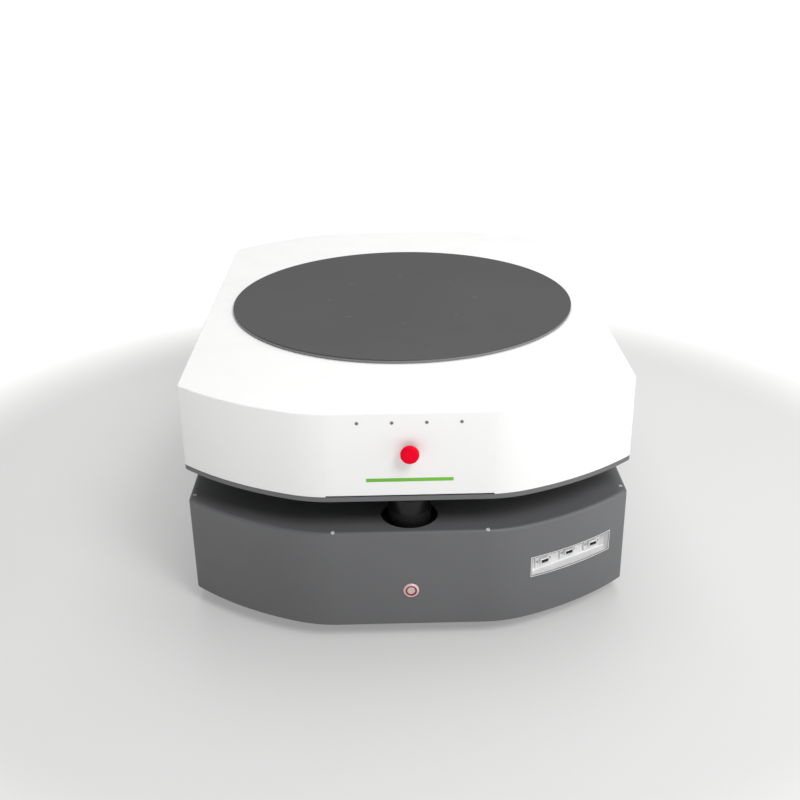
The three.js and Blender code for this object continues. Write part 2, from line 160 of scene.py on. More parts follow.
def skin_mesh(name, loops, closed=False, caps=False):
    """A mesh through loops with the same number of points, with an end cap on each if asked."""
    count = len(loops[0])
    verts = [p for loop in loops for p in loop]
    faces = []
    spans = len(loops) if closed else len(loops) - 1
    for k in range(spans):
        a, b = k * count, ((k + 1) % len(loops)) * count
        for i in range(count):
            j = (i + 1) % count
            faces.append((a + i, a + j, b + j, b + i))
    if caps:
        faces.append(tuple(reversed(range(count))))
        last = (len(loops) - 1) * count
        faces.append(tuple(range(last, last + count)))
    mesh = bpy.data.meshes.new(name)
    mesh.from_pydata([tuple(v) for v in verts], [], faces)
    outward(mesh)
    return mesh


def circles(profile, segments):
    """Circles about Z, one for each (radius, height) pair."""
    turns = [2 * math.pi * i / segments for i in range(segments)]
    return [[Vector((r * math.cos(a), r * math.sin(a), z)) for a in turns] for r, z in profile]


def turned(name, profile, segments=64, bored=False, sharp=SHARP_ANGLE):
    """A turned piece about Z. A cap closes each end, or, bored, the profile closes on itself."""
    mesh = skin_mesh(name, circles(profile, segments), closed=bored, caps=not bored)
    return new_object(name, mesh, sharp)


def box_mesh(name, lo, hi, bevel=0.0, segments=2):
    """A box between two corners with its edges rounded."""
    build = bmesh.new()
    bmesh.ops.create_cube(build, size=1.0)
    size = Vector(hi) - Vector(lo)
    middle = (Vector(hi) + Vector(lo)) / 2
    bmesh.ops.scale(build, vec=size, verts=build.verts)
    bmesh.ops.translate(build, vec=middle, verts=build.verts)
    if bevel:
        bmesh.ops.bevel(
            build, geom=build.edges[:], offset=bevel, segments=segments, affect="EDGES", profile=0.5
        )
    mesh = bpy.data.meshes.new(name)
    build.to_mesh(mesh)
    build.free()
    return mesh


def along(direction, up=(0, 0, 1)):
    """A turn that takes local Z onto a direction, with local Y as near as can be to up."""
    z = Vector(direction).normalized()
    up = Vector(up)
    if abs(z.dot(up)) > 0.999:
        up = Vector((0, 1, 0))
    x = up.cross(z).normalized()
    y = z.cross(x)
    return Matrix((x, y, z)).transposed().to_4x4()


def place(obj, at, direction=(0, 0, 1)):
    """Moves a piece made about the origin, looking along Z, into its place in the mesh."""
    obj.data.transform(Matrix.Translation(at) @ along(direction))
    return obj


def carve(obj, *cutters, operation="DIFFERENCE"):
    """Cuts other objects out of one, or keeps what they share with it, then drops them."""
    for cutter in cutters:
        mod = obj.modifiers.new("cut", "BOOLEAN")
        mod.operation = operation
        mod.solver = "EXACT"
        mod.object = cutter
    bpy.context.view_layer.update()
    result = bpy.data.meshes.new_from_object(obj.evaluated_get(bpy.context.evaluated_depsgraph_get()))
    obj.modifiers.clear()
    obj.data = result
    result.shade_smooth()
    result.set_sharp_from_angle(angle=math.radians(SHARP_ANGLE))
    for cutter in cutters:
        bpy.data.objects.remove(cutter)
    return obj


def even_normals(obj):
    """Keeps big flat faces flat beside their rounded edges."""
    mod = obj.modifiers.new("even", "WEIGHTED_NORMAL")
    mod.keep_sharp = True
    mod.weight = 100


def finish_piece(obj, material, body, slot_name, *replaced):
    """Gives a piece its material and body, and hides the frame's parts that it stands for; slot_name is
    not used.
    """
    obj.data.materials.clear()
    obj.data.materials.append(material)
    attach(obj, body)
    if replaced:
        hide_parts(*replaced)
    return obj


# ---- Materials ----
def blank(name):
    """A material with an empty tree, its shader and its output."""
    material = bpy.data.materials.new(name)
    material.use_nodes = True
    tree = material.node_tree
    tree.nodes.clear()
    output = tree.nodes.new("ShaderNodeOutputMaterial")
    shader = tree.nodes.new("ShaderNodeBsdfPrincipled")
    tree.links.new(shader.outputs["BSDF"], output.inputs["Surface"])
    return material, tree, shader


def noise(tree, scale, detail=3.0, roughness=0.5, stretch=(1, 1, 1)):
    """Noise in the piece's own space, in metres."""
    coords = tree.nodes.new("ShaderNodeTexCoord")
    mapping = tree.nodes.new("ShaderNodeMapping")
    mapping.inputs["Scale"].default_value = stretch
    texture = tree.nodes.new("ShaderNodeTexNoise")
    texture.inputs["Scale"].default_value = scale
    texture.inputs["Detail"].default_value = detail
    texture.inputs["Roughness"].default_value = roughness
    tree.links.new(coords.outputs["Object"], mapping.inputs["Vector"])
    tree.links.new(mapping.outputs["Vector"], texture.inputs["Vector"])
    return texture.outputs["Fac"]


def remap(tree, value, low, high):
    """Noise from 0.3 to 0.7 spread between two numbers."""
    node = tree.nodes.new("ShaderNodeMapRange")
    node.inputs["From Min"].default_value = 0.3
    node.inputs["From Max"].default_value = 0.7
    node.inputs["To Min"].default_value = low
    node.inputs["To Max"].default_value = high
    tree.links.new(value, node.inputs["Value"])
    return node.outputs["Result"]


def mixed(tree, factor, first, second):
    """A colour between two, by a factor from the tree."""
    node = tree.nodes.new("ShaderNodeMix")
    node.data_type = "RGBA"
    node.inputs["A"].default_value = (*first, 1)
    node.inputs["B"].default_value = (*second, 1)
    tree.links.new(factor, node.inputs["Factor"])
    return node.outputs["Result"]


def bump(tree, shader, height, strength, distance):
    """Relief on a shader, from a height in the tree."""
    node = tree.nodes.new("ShaderNodeBump")
    node.inputs["Strength"].default_value = strength
    node.inputs["Distance"].default_value = distance
    tree.links.new(height, node.inputs["Height"])
    tree.links.new(node.outputs["Normal"], shader.inputs["Normal"])


def shade(colour, factor):
    """A lighter or darker colour."""
    return tuple(min(1.0, c * factor) for c in colour)


def coat(name, colour, gloss, grain=900.0, depth=0.00004, spread=0.04, specular=0.5):
    """Painted or moulded surface: fine texture, slow drift of tone, uneven gloss."""
    material, tree, shader = blank(name)
    shader.inputs["Specular IOR Level"].default_value = specular
    drift = remap(tree, noise(tree, 3.0, 4.0), 0.0, 1.0)
    tone = mixed(tree, drift, shade(colour, 1 - spread), shade(colour, 1 + spread))
    tree.links.new(tone, shader.inputs["Base Color"])
    patch = remap(tree, noise(tree, 18.0, 5.0), gloss - 0.05, gloss + 0.06)
    tree.links.new(patch, shader.inputs["Roughness"])
    bump(tree, shader, noise(tree, grain, 2.0), 0.35, depth)
    return material


def metal(name, colour, gloss, stretch=(1, 1, 1), grain=600.0, spread=0.05, metallic=1.0):
    """Bare metal with a brushed or turned grain."""
    material, tree, shader = blank(name)
    shader.inputs["Metallic"].default_value = metallic
    lines = noise(tree, grain, 3.0, 0.6, stretch)
    tone = mixed(tree, remap(tree, lines, 0, 1), shade(colour, 1 - spread), shade(colour, 1 + spread))
    tree.links.new(tone, shader.inputs["Base Color"])
    tree.links.new(remap(tree, lines, gloss - 0.07, gloss + 0.07), shader.inputs["Roughness"])
    bump(tree, shader, lines, 0.2, 0.00003)
    return material


WHITE = coat("white_powder_coat", (0.90, 0.90, 0.895), 0.42, grain=700, spread=0.012)
GREY = coat("grey_powder_coat", (0.135, 0.137, 0.141), 0.50, grain=900, spread=0.05)
FRAME_BLACK = coat("frame_black_coat", (0.070, 0.071, 0.072), 0.60, grain=500, spread=0.12)
DISC_TOP_GREY = coat("disc_textured_coat", (0.060, 0.060, 0.061), 0.47, grain=1300, spread=0.06)
BARE_EDGE = metal("bare_machined_edge", (0.26, 0.26, 0.265), 0.50, (1, 1, 6), 300, metallic=0.6)
SCREW_MATT = coat("screw_matt", (0.125, 0.125, 0.127), 0.5, 1500, 0.00001, 0.03)
ZINC = coat("screw_bright_zinc", (0.70, 0.70, 0.71), 0.40, 1500, 0.00001, 0.03)
SCREW_GREY = coat("screw_grey", (0.25, 0.25, 0.255), 0.5, 1500, 0.00001, 0.03)
SCREW_DARK = metal("screw_blackened", (0.20, 0.20, 0.205), 0.45, grain=1500)
COLUMN_STEEL = metal("column_steel", (0.56, 0.57, 0.58), 0.32, (1, 1, 12), 250)
RECESS_METAL = metal("recess_metal", (0.78, 0.78, 0.785), 0.48, grain=900, metallic=0.45)
# The bezel's pink tint is painted reflection of the red lamp ring, not the steel's own colour.
BEZEL_STEEL_PAINTED_GLOW = metal("bezel_steel", (0.80, 0.62, 0.62), 0.50, grain=1200, metallic=0.35)
# The cap's warm pinkish tint is painted glow from the red lamp ring, not the steel's own colour.
CAP_STEEL_PAINTED_GLOW = metal("button_cap_painted_glow", (0.66, 0.60, 0.56), 0.50, grain=1200, metallic=0.35)
HUB_METAL = metal("hub_aluminium", (0.50, 0.51, 0.53), 0.36, (8, 1, 1), 200)
BLACK_GLOSS = coat("scanner_window", (0.003, 0.003, 0.0035), 0.22, 1500, 0.00001, 0.1, 0.35)
BLACK_MATT = coat("black_moulding", (0.006, 0.006, 0.0065), 0.50, 1600, spread=0.15, specular=0.3)
RED = coat("stop_red", (0.84, 0.0, 0.019), 0.50, 1500, 0.00001, 0.03, 0.06)
RING_RED = coat("lamp_ring_red", (0.36, 0.035, 0.055), 0.40, 1500, 0.00001, 0.05, 0.3)
GREEN = coat("accent_green", (0.17, 0.50, 0.045), 0.45, 1200, 0.00001, 0.04, 0.3)
TYRE = coat("roller_polyurethane", (0.018, 0.018, 0.019), 0.62, grain=1200, depth=0.00008, spread=0.2)
BATTERY = coat("battery_moulding", (0.022, 0.032, 0.047), 0.5, grain=1200, spread=0.1)
MOTOR = coat("motor_coat", (0.030, 0.030, 0.034), 0.4, grain=800, spread=0.1)


# ---- Shells ----
COVER_EDGE_R = 2.5 * MM
SHELL_EDGE_R = 6 * MM
TRAY_EDGE_R = 1.6 * MM
COVER_LOW_EDGE_R, SHELL_LOW_EDGE_R, TRAY_TOP_EDGE_R = 0.6 * MM, 1.2 * MM, 0.8 * MM
TRAY_HOLE_R = 182 * MM
TRAY_FLOOR = 4 * MM
TRAY_RIM = 14 * MM
CUT = 20 * MM  # how far a cutter reaches past what it cuts
COVER_WALL = 4 * MM
SHELL_WALL = 5 * MM
COVER_HOLE_R = 171 * MM
PANEL_HALF = 142 * MM
PANEL_SEAM = 0.08 * MM
PANEL_DEPTH = COVER_WALL + 0.5 * MM
POWER_HOLE_R = 11.3 * MM
STOP_HOLE_R = 8.2 * MM
SCANNER_HOLE_R = 50 * MM
CORE_HALF_WIDTH = 185 * MM
CORE_HALF_LENGTH = 431 * MM
SCREW_DEPTH = 2.4 * MM
PANEL_SCREW_R = 2.9 * MM
PANEL_SCREW_PITCH = 57.3 * MM
EDGE_SCREW_R = 3.3 * MM
EDGE_SCREW_TILT = 70  # of the front and rear screws' axes above the horizontal, on the rounded edge
CORNER_SCREW_AT = (390.5 * MM, 418 * MM)
DECK_SCREW_X = 133 * MM
PANEL_SCREW_DROP = 17.5 * MM
SEAT_CLEARANCE = 0.25 * MM


def box_cutter(lo, hi, turn=0.0):
    """A box to cut with, turned about Z in degrees."""
    mesh = box_mesh("cutter", lo, hi)
    mesh.transform(Matrix.Rotation(math.radians(turn), 4, "Z"))
    return new_object("cutter", mesh)


def round_cutter(radius, at, direction, length):
    """A cylinder to cut with, centred on a point."""
    cutter = turned("cutter", [(radius, -length / 2), (radius, length / 2)], 64)
    return place(cutter, at, direction)


def panel_screw_places():
    """Four in a row across the panel, near its top."""
    z = COVER_HI.z - PANEL_SCREW_DROP
    return [Vector(((i - 1.5) * PANEL_SCREW_PITCH, -HALF_LENGTH, z)) for i in range(4)]


def edge_screw_places():
    """Name, place and direction of the screws along the edge of the deck."""
    tilt = math.radians(EDGE_SCREW_TILT)
    flat, rise = math.cos(tilt), math.sin(tilt)
    z = SHELL_HI.z - SHELL_EDGE_R
    places = []
    for end, end_name in ((-1, "front"), (1, "rear")):
        for side, side_name in ((-1, "left"), (1, "right")):
            out = Vector((0, end * flat, rise))
            middle = Vector((side * DECK_SCREW_X, end * (HALF_LENGTH - SHELL_EDGE_R), z))
            places.append((f"deck_screw_{end_name}_{side_name}", middle + out * SHELL_EDGE_R, out))
            at = Vector((side * CORNER_SCREW_AT[0], end * CORNER_SCREW_AT[1], SHELL_HI.z))
            places.append((f"corner_screw_{end_name}_{side_name}", at, Vector((0, 0, 1))))
    return places


def screw_seat(at, direction, radius):
    """A round hole for a screw's head to lie in."""
    return round_cutter(radius + SEAT_CLEARANCE, at, direction, 2 * SCREW_DEPTH)


def cover_skin(name):
    """The whole white shell, with a soft top edge and the table's hole."""
    top, bottom = COVER_HI.z, COVER_LO.z
    loops = [ring(COVER_WALL, bottom), *rounded_edge(0, bottom, COVER_LOW_EDGE_R, outer=False, steps=2)]
    loops += rounded_edge(0, top, COVER_EDGE_R)
    loops += [circle_ring(COVER_HOLE_R, top), circle_ring(COVER_HOLE_R, top - COVER_WALL)]
    loops += [ring(COVER_WALL, top - COVER_WALL)]
    return new_object(name, skin_mesh(name, loops, closed=True))


def panel_box(clear, bottom):
    """The access panel's block, with its sides and back drawn in by a gap."""
    half, back = PANEL_HALF - clear, -HALF_LENGTH + PANEL_DEPTH - clear
    return box_cutter((-half, -HALF_LENGTH - CUT, bottom), (half, back, COVER_HI.z + CUT))


def make_cover():
    """White upper cover, without the access panel."""
    cover = cover_skin("cover_skin")
    stop_hole = round_cutter(STOP_HOLE_R, (0, HALF_LENGTH, STOP_Z), (0, 1, 0), 2 * CUT)
    carve(cover, panel_box(0, COVER_LO.z - CUT), stop_hole)
    even_normals(cover)
    finish_piece(cover, WHITE, "chassis", "white_paint", "upper_cover")


def make_front_panel():
    """Removable panel: the piece of the shell that the cover leaves out, a little higher up."""
    panel = cover_skin("access_panel")
    carve(panel, panel_box(PANEL_SEAM, PANEL_BOTTOM), operation="INTERSECT")
    seats = [screw_seat(at, (0, -1, 0), PANEL_SCREW_R) for at in panel_screw_places()]
    stop_hole = round_cutter(STOP_HOLE_R, (0, -HALF_LENGTH, STOP_Z), (0, 1, 0), 2 * CUT)
    carve(panel, stop_hole, *seats)
    even_normals(panel)
    finish_piece(panel, WHITE, "chassis", "white_paint", "front_panel")


def make_tray():
    """Dark lip under the cover: a shallow tray with a rounded rim."""
    top, bottom = TRAY_HI.z, TRAY_LO.z
    floor = bottom + TRAY_FLOOR
    loops = [circle_ring(TRAY_HOLE_R, bottom), *rounded_edge(0, bottom, TRAY_EDGE_R, outer=False)]
    loops += rounded_edge(0, top, TRAY_TOP_EDGE_R, steps=2)
    loops += [ring(TRAY_RIM, top), ring(TRAY_RIM, floor), circle_ring(TRAY_HOLE_R, floor)]
    tray = new_object("tray_skin", skin_mesh("tray_skin", loops, closed=True))
    even_normals(tray)
    finish_piece(tray, GREY, "chassis", "grey_paint", "upper_tray")


def make_lower_shell():
    """Grey skirt and deck in one piece, with the recess, button and scanner holes."""
    top, bottom = SHELL_HI.z, SHELL_LO.z
    loops = [ring(SHELL_WALL, top - SHELL_WALL), ring(SHELL_WALL, bottom)]
    loops += rounded_edge(0, bottom, SHELL_LOW_EDGE_R, outer=False, steps=2)
    loops += rounded_edge(0, top, SHELL_EDGE_R, steps=5)
    shell = new_object("skirt_skin", skin_mesh("skirt_skin", loops, caps=True))
    recess = box_cutter(
        (-RECESS_HALF, -CORNER_ARC_R - CUT, RECESS_BOTTOM),
        (RECESS_HALF, -CORNER_ARC_R + RECESS_DEPTH, RECESS_TOP),
        RECESS_TURN,
    )
    button = round_cutter(POWER_HOLE_R, (0, -HALF_LENGTH, POWER_Z), (0, 1, 0), 2 * CUT)
    opening = box_cutter(
        (-CORE_HALF_WIDTH, -CORE_HALF_LENGTH, top - CUT),
        (CORE_HALF_WIDTH, CORE_HALF_LENGTH, top + CUT),
    )
    holes = [
        round_cutter(SCANNER_HOLE_R, (0, end * SCANNER_Y, top), (0, 0, 1), 2 * CUT) for end in (-1, 1)
    ]
    seats = [screw_seat(at, out, EDGE_SCREW_R) for _, at, out in edge_screw_places()]
    carve(shell, recess, button, opening, *holes, *seats)
    even_normals(shell)
    finish_piece(shell, GREY, "chassis", "grey_paint", "lower_shell")


# ---- Screws ----
BASE_SCREWS = 7
BASE_SCREW_PITCH = 75 * MM
BASE_SCREW_X = 240 * MM
BASE_SCREW_R = 4.5 * MM
BASE_SCREW_RISE = 0.9 * MM


def screw_mesh(radius, depth):
    """A countersunk head with a hexagon socket, its rim at z = 0."""
    segments = 24
    socket = radius * 0.48

    def hexagon(z):
        points = []
        for i in range(segments):
            a = 2 * math.pi * i / segments
            corner = (a + math.pi / 6) % (math.pi / 3) - math.pi / 6
            reach = socket * math.cos(math.pi / 6) / math.cos(corner)
            points.append(Vector((reach * math.cos(a), reach * math.sin(a), z)))
        return points

    rise = depth * 0.12
    head = [
        (radius * 0.9, -depth),
        (radius, -depth * 0.3),
        (radius, rise * 0.4),
        (radius * 0.93, rise),
        (radius * 0.62, rise),
    ]
    loops = [*circles(head, segments), hexagon(rise * 0.6), hexagon(-depth * 0.7)]
    return skin_mesh("screw", loops, caps=True)


def screw(name, at, direction, radius, body, material, slot_name):
    """A finished screw, its head's rim at a point and its axis along a direction."""
    obj = new_object(name, screw_mesh(radius, SCREW_DEPTH))
    place(obj, at, direction)
    return finish_piece(obj, material, body, slot_name)


def make_shell_screws():
    """Panel screws in the white face, and bright ones along the deck's edge."""
    for i, at in enumerate(panel_screw_places()):
        name = f"panel_screw_{i + 1}"
        screw(name, at, (0, -1, 0), PANEL_SCREW_R, "chassis", SCREW_GREY, "frame_paint")
    for name, at, out in edge_screw_places():
        screw(name, at, out, EDGE_SCREW_R, "chassis", ZINC, "bezel_steel")


def make_base_screws():
    """Low-headed screws under the base plate, along its long sides."""
    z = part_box("chassis_frame")[0].z - BASE_SCREW_RISE
    for side, side_name in ((-1, "left"), (1, "right")):
        for i in range(BASE_SCREWS):
            y = (i - (BASE_SCREWS - 1) / 2) * BASE_SCREW_PITCH
            name = f"base_screw_{side_name}_{i + 1}"
            at = (side * BASE_SCREW_X, y, z)
            screw(name, at, (0, 0, -1), BASE_SCREW_R, "chassis", ZINC, "bezel_steel")


ACCENT_HALF, ACCENT_HALF_HEIGHT = 73 * MM, 3.2 * MM
ACCENT_RISE = 31 * MM  # of its middle above the cover's lower edge


def make_accent_bar():
    """Plain green bar on the access panel, under the emergency stop."""
    middle = COVER_LO.z + ACCENT_RISE
    lo = (-ACCENT_HALF, -HALF_LENGTH - 0.3 * MM, middle - ACCENT_HALF_HEIGHT)
    hi = (ACCENT_HALF, -HALF_LENGTH + 0.2 * MM, middle + ACCENT_HALF_HEIGHT)
    bar = new_object("accent_bar", box_mesh("accent_bar", lo, hi, 0.2 * MM, 2))
    finish_piece(bar, GREEN, "chassis", "white_paint")


# ---- Turntable and lift ----
DISC_R = DISC_HI.x
DISC_CHAMFER = 0.8 * MM
DISC_SHEET = 2.2 * MM  # thickness of the textured sheet on the plate
DISC_SCREWS = 8
DISC_SCREW_CIRCLE_R = 153 * MM
DISC_SCREW_R = 4.2 * MM
DISC_SCREW_SUNK = 0.4 * MM
DISC_SEGMENTS = 256
BOSS_R = 118 * MM


def make_disc():
    """Round table: a plate with a bare machined edge, its boss, and a textured sheet on top."""
    top, low = DISC_HI.z, COVER_HI.z + 0.3 * MM
    boss_low = DISC_LO.z
    plate_top = top - DISC_SHEET - 0.05 * MM
    plate_profile = [
        (BOSS_R - 4 * MM, boss_low),
        (BOSS_R, boss_low + 3 * MM),
        (BOSS_R, low),
        (DISC_R - 1.0 * MM, low),
        (DISC_R, low + 1.0 * MM),
        (DISC_R, plate_top - 0.3 * MM),
        (DISC_R - 0.3 * MM, plate_top),
    ]
    plate = turned("table_plate", plate_profile, DISC_SEGMENTS)
    even_normals(plate)
    finish_piece(plate, BARE_EDGE, "turntable", "disc_paint", "lift_disc")
    sheet_profile = [
        (DISC_R, top - DISC_SHEET),
        (DISC_R, top - DISC_CHAMFER),
        (DISC_R - DISC_CHAMFER, top),
    ]
    sheet = turned("table_top", sheet_profile, DISC_SEGMENTS)
    turns = [2 * math.pi * i / DISC_SCREWS for i in range(DISC_SCREWS)]
    reach = DISC_SCREW_CIRCLE_R
    places = [Vector((reach * math.cos(a), reach * math.sin(a), top)) for a in turns]
    carve(sheet, *[screw_seat(at, (0, 0, 1), DISC_SCREW_R) for at in places])
    even_normals(sheet)
    finish_piece(sheet, DISC_TOP_GREY, "turntable", "disc_paint")
    sunk = Vector((0, 0, DISC_SCREW_SUNK))
    for i, at in enumerate(places):
        name = f"table_screw_{i + 1}"
        screw(name, at - sunk, (0, 0, 1), DISC_SCREW_R, "turntable", SCREW_MATT, "bezel_steel")


def make_column():
    """Lift column with a seal groove near its top."""
    outer, inner = COLUMN_HI.x, BOSS_R + 0.8 * MM
    low, high = COLUMN_LO.z, COLUMN_HI.z
    column = turned(
        "column_tube",
        [
            (inner, low),
            (outer - 1.5 * MM, low),
            (outer, low + 1.5 * MM),
            (outer, high - 12 * MM),
            (outer - 2 * MM, high - 11 * MM),
            (outer - 2 * MM, high - 7 * MM),
            (outer, high - 6 * MM),
            (outer, high - 1 * MM),
            (outer - 1 * MM, high),
            (inner + 1 * MM, high),
            (inner, high - 1 * MM),
        ],
        160,
        bored=True,
    )
    even_normals(column)
    finish_piece(column, COLUMN_STEEL, "lift", "lift_steel", "lift_column")


# ---- Controls ----
def make_emergency_stop(place_name, end):
    """Red mushroom head on a black neck. Heights are from the cover's face, outward."""
    tip, head_r = STOP_REACH, STOP_HEAD_R
    back = tip - 11 * MM
    stem_r, neck_r, neck_top = 4.9 * MM, 9.3 * MM, 6.2 * MM
    profile = [
        (stem_r, back - 14 * MM),
        (stem_r, back),
        (head_r - 2.2 * MM, back),
        (head_r - 0.6 * MM, back + 0.8 * MM),
        (head_r, back + 2.6 * MM),
        (head_r, tip - 4.0 * MM),
        (head_r - 0.5 * MM, tip - 2.4 * MM),
        (head_r - 1.7 * MM, tip - 1.2 * MM),
        (head_r - 4.2 * MM, tip - 0.5 * MM),
        (head_r - 8.0 * MM, tip - 0.15 * MM),
        (head_r - 12.0 * MM, tip),
    ]
    head = turned(f"stop_head_{place_name}", profile, 96, sharp=50)
    at = (0, end * HALF_LENGTH, STOP_Z)
    place(head, at, (0, end, 0))
    finish_piece(head, RED, f"estop_{place_name}", "stop_red", f"estop_head_{place_name}")
    bore_r, barrel_r = stem_r + 0.4 * MM, STOP_HOLE_R - 0.4 * MM
    collar_profile = [
        (bore_r, -30 * MM),
        (barrel_r, -30 * MM),
        (barrel_r, 0.3 * MM),
        (neck_r, 0.3 * MM),
        (neck_r, neck_top - 0.8 * MM),
        (neck_r - 0.7 * MM, neck_top),
        (bore_r, neck_top),
    ]
    collar = turned(f"stop_collar_{place_name}", collar_profile, 64, bored=True)
    place(collar, at, (0, end, 0))
    name = f"estop_collar_{place_name}"
    finish_piece(collar, BLACK_MATT, "chassis", "collar_black", name)


def make_power_button():
    """Steel bezel, red lamp ring and steel cap; the bezel's pink and the cap's warm tint are painted
    glow from the ring. Heights are from the skirt's face, outward.
    """
    at, out = (0, -HALF_LENGTH, POWER_Z), (0, -1, 0)
    bezel_profile = [
        (10.3 * MM, -14 * MM),
        (10.8 * MM, -14 * MM),
        (10.8 * MM, 0.3 * MM),
        (BEZEL_R, 0.3 * MM),
        (BEZEL_R, 0.8 * MM),
        (BEZEL_R - 0.6 * MM, 1.7 * MM),
        (BEZEL_R - 1.6 * MM, 2.4 * MM),
        (BEZEL_R - 2.9 * MM, 2.9 * MM),
        (10.7 * MM, 3.0 * MM),
        (10.3 * MM, 2.7 * MM),
    ]
    bezel = turned("button_bezel", bezel_profile, 96, bored=True)
    place(bezel, at, out)
    # Its pink tint is painted reflection of the red lamp ring.
    finish_piece(bezel, BEZEL_STEEL_PAINTED_GLOW, "chassis", "bezel_steel", "power_bezel")
    lamp_profile = [
        (7.3 * MM, -8 * MM),
        (10.2 * MM, -8 * MM),
        (10.2 * MM, 2.1 * MM),
        (8.6 * MM, 2.3 * MM),
        (7.3 * MM, 2.0 * MM),
    ]
    lamp = turned("button_lamp_ring", lamp_profile, 96, bored=True)
    place(lamp, at, out)
    finish_piece(lamp, RING_RED, "chassis", "bezel_steel")
    cap_profile = [
        (7.0 * MM, -6.6 * MM),
        (7.0 * MM, 1.7 * MM),
        (6.5 * MM, 2.3 * MM),
        (5.0 * MM, 2.1 * MM),
        (3.0 * MM, 1.9 * MM),
    ]
    cap = turned("button_cap", cap_profile, 64, sharp=60)
    place(cap, at, out)
    # Its warm tint is painted glow from the red lamp ring.
    finish_piece(cap, CAP_STEEL_PAINTED_GLOW, "power_button", "button_steel", "power_cap")


# ---- Scanners ----
WINDOW_LOW, WINDOW_HIGH = 236 * MM, 262 * MM
GROOVE_LOW, GROOVE_HIGH = 206 * MM, 210 * MM
SCANNER_SEGMENTS = 96


def make_scanner(place_name, end):
    """Black laser scanner: body, glossy window band and cap, in one turned piece each."""
    low, high = SCANNER_LO.z, SCANNER_HI.z
    body_r, window_r = SCANNER_HI.x, SCANNER_HI.x - 0.5 * MM
    at = (0, end * SCANNER_Y, 0)
    base = turned(
        f"scanner_base_{place_name}",
        [
            (body_r - 1 * MM, low),
            (body_r, low + 1 * MM),
            (body_r, GROOVE_LOW),
            (body_r - 1.2 * MM, GROOVE_LOW + 1 * MM),
            (body_r - 1.2 * MM, GROOVE_HIGH - 1 * MM),
            (body_r, GROOVE_HIGH),
            (body_r, WINDOW_LOW - 1 * MM),
            (body_r - 1 * MM, WINDOW_LOW),
        ],
        SCANNER_SEGMENTS,
    )
    place(base, at)
    finish_piece(base, BLACK_MATT, "chassis", "scanner_black", f"lidar_{place_name}")
    window = [(window_r, WINDOW_LOW), (window_r, WINDOW_HIGH)]
    band = turned(f"scanner_window_{place_name}", window, SCANNER_SEGMENTS)
    place(band, at)
    finish_piece(band, BLACK_GLOSS, "chassis", "scanner_black")
    cap = turned(
        f"scanner_cap_{place_name}",
        [
            (body_r - 1 * MM, WINDOW_HIGH),
            (body_r, WINDOW_HIGH + 1 * MM),
            (body_r, high - 3 * MM),
            (body_r - 3 * MM, high),
        ],
        SCANNER_SEGMENTS,
    )
    place(cap, at)
    finish_piece(cap, BLACK_MATT, "chassis", "scanner_black")
    seal_top, seal_r = SHELL_HI.z - 7.5 * MM, SCANNER_HOLE_R - 0.4 * MM
    seal_profile = [
        (body_r + 0.3 * MM, seal_top - 2.5 * MM),
        (seal_r, seal_top - 2.5 * MM),
        (seal_r, seal_top - 0.6 * MM),
        (seal_r - 0.6 * MM, seal_top),
        (body_r + 2 * MM, seal_top - 0.4 * MM),
        (body_r + 0.3 * MM, seal_top - 1.2 * MM),
    ]
    seal = turned(f"scanner_seal_{place_name}", seal_profile, SCANNER_SEGMENTS, bored=True)
    place(seal, at)
    finish_piece(seal, BLACK_MATT, "chassis", "scanner_black")


# ---- Connector recess ----
RECESS_FLOOR = 1.5 * MM
TRIM_WIDTH, TRIM_SEAM, PAN_WALL = 1.7 * MM, 1.1 * MM, 3.2 * MM
PORT_PITCH = 55 * MM
RECESS_GAP = 0.3 * MM
PORT_SLOT = (7.7 * MM, 3.3 * MM)
PORT_SCREW_X = 14 * MM


def in_recess(obj):
    """Turns a piece made straight ahead of the centre into the recess."""
    obj.data.transform(Matrix.Rotation(math.radians(RECESS_TURN), 4, "Z"))
    return obj


def arc_depth(x):
    """How far behind its middle the skirt's face lies at a distance along the recess."""
    return CORNER_ARC_R - math.sqrt(CORNER_ARC_R**2 - x * x)


def recess_slab(inset, y_of, steps=24):
    """An upright rectangle in the recess, drawn in by an inset, its depth given along x."""
    side = RECESS_HALF - RECESS_GAP - inset
    low, high = RECESS_BOTTOM + RECESS_GAP + inset, RECESS_TOP - RECESS_GAP - inset
    across = [side * (2 * i / steps - 1) for i in range(steps + 1)]
    bottom = [Vector((x, y_of(x), low)) for x in across]
    top = [Vector((x, y_of(x), high)) for x in reversed(across)]
    return bottom + top


def behind_face(depth):
    """A surface that follows the skirt's face at a depth, for recess_slab."""
    return lambda x: arc_depth(x) - CORNER_ARC_R + 0.15 * MM + depth


def before_back(depth):
    """A flat surface at a depth before the pan's back, for recess_slab."""
    return lambda x: -CORNER_ARC_R + RECESS_DEPTH - depth


